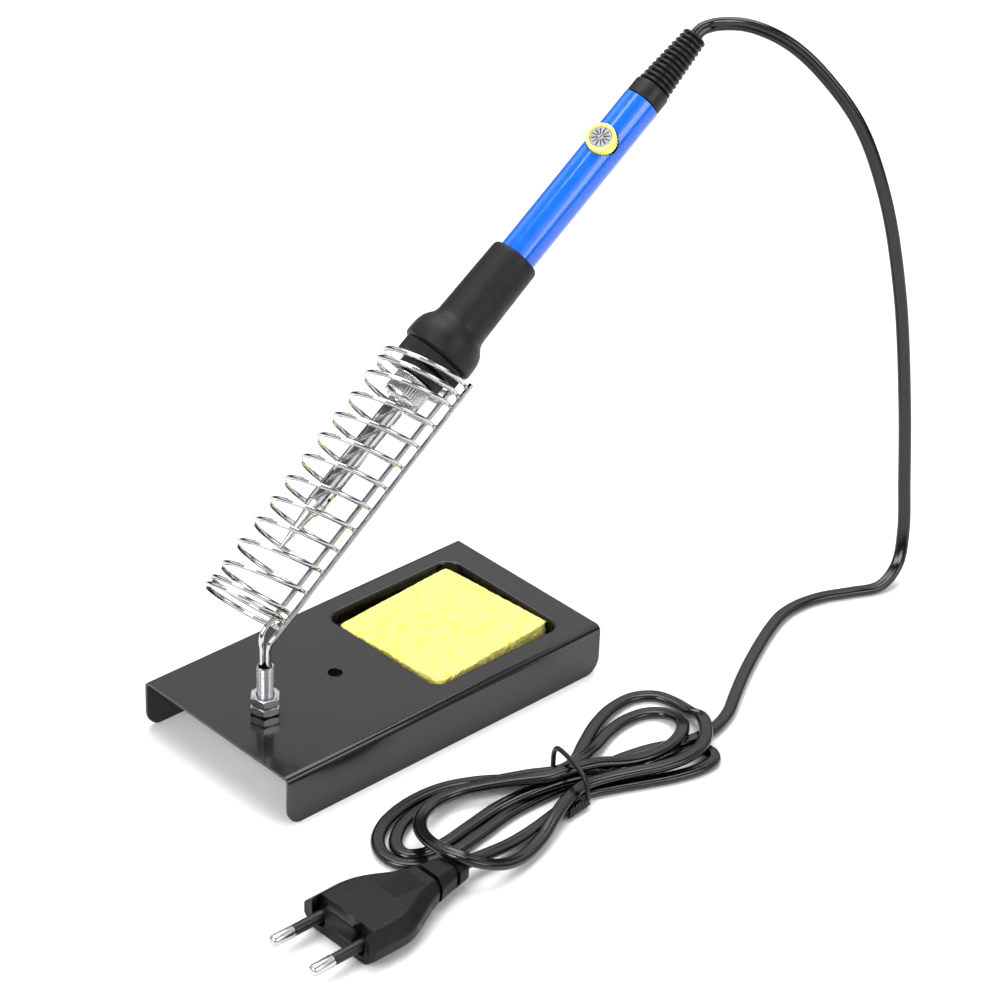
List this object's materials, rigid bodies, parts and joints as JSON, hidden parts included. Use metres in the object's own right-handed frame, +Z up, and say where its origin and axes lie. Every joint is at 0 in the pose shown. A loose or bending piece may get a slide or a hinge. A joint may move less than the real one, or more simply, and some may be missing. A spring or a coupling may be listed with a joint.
{
  "type": "soldering iron station",
  "caption": "Folded steel base with a sponge tray and a wire coil holder on a threaded post, holding a knob-controlled soldering iron with a tied mains lead and plug.",
  "frame": {"origin": "on the bench, under the middle of the box round the stand and iron, the mains lead left out", "axes": "+X along the base from the holder's post to the sponge, the way the iron points up; -Y is the front flange; +Z up"},
  "size_m": [0.3174, 0.1477, 0.2103],
  "materials": {
    "black_paint": "gloss black paint on folded sheet steel",
    "chrome_wire": "bright chromed wire",
    "zinc": "bright zinc plate",
    "bright_steel": "polished steel",
    "tip_plating": "satin nickel plate",
    "pin_metal": "nickel-plated brass",
    "sponge": "open-cell cellulose sponge",
    "ceramic": "unglazed ceramic",
    "dark_plastic": "satin black plastic",
    "grip_rubber": "matte black rubber",
    "blue_plastic": "glossy blue plastic",
    "yellow_plastic": "yellow plastic",
    "grey_plastic": "grey plastic",
    "board": "green circuit board",
    "brown_film": "dipped film capacitor",
    "lead_red": "red insulation",
    "lead_blue": "blue insulation",
    "cord_black": "black moulded cord jacket"
  },
  "bodies": {
    "root": {"base_plate": "black_paint", "coil_wire": "chrome_wire", "rod_outer": "chrome_wire", "rod_inner": "chrome_wire", "threaded_sleeve": "zinc", "upper_nut": "zinc", "lower_nut": "zinc", "under_nut": "zinc", "under_washer": "zinc", "cord_run": "cord_black", "cord_hank": "cord_black", "cord_tie": "dark_plastic", "plug_body": "cord_black", "plug_pin_front": "pin_metal", "plug_pin_back": "pin_metal", "pin_sleeve_front": "dark_plastic", "pin_sleeve_back": "dark_plastic"},
    "iron": {"soldering_tip": "tip_plating", "heater": "ceramic", "barrel": "bright_steel", "front_bush": "dark_plastic", "ribbed_collar": "dark_plastic", "grip_sleeve": "grip_rubber", "handle_tube": "blue_plastic", "circuit_board": "board", "potentiometer": "dark_plastic", "triac": "dark_plastic", "capacitor": "brown_film", "fuse_resistor": "ceramic", "heater_lead_front": "lead_red", "heater_lead_back": "lead_red", "mains_lead_front": "lead_blue", "mains_lead_back": "lead_blue", "strain_relief": "dark_plastic"},
    "knob": {"knob_ring": "yellow_plastic", "knob_dial": "grey_plastic", "knob_spindle": "grey_plastic"},
    "nut": {"ferrule_nut": "bright_steel"},
    "sponge": {"sponge": "sponge"}
  },
  "joints": [
    {"name": "iron_lift", "type": "slide", "parent": "root", "child": "iron", "axis": [0.7981, -0.0201, 0.6022], "range_m": [0, 0.1], "deforming": ["cord_run"]},
    {"name": "knob_turn", "type": "hinge", "parent": "iron", "child": "knob", "pos_m": [0.06441, 0.00549, 0.17401], "axis": [-0.5778, -0.3091, 0.7554], "range_deg": [-135, 135]},
    {"name": "ferrule_nut_turn", "type": "hinge", "parent": "iron", "child": "nut", "pos_m": [-0.02082, 0.00763, 0.10969], "axis": [0.7981, -0.0201, 0.6022], "continuous": true},
    {"name": "sponge_lift", "type": "slide", "parent": "root", "child": "sponge", "axis": [0, 0, 1], "range_m": [0, 0.03]}
  ]
}
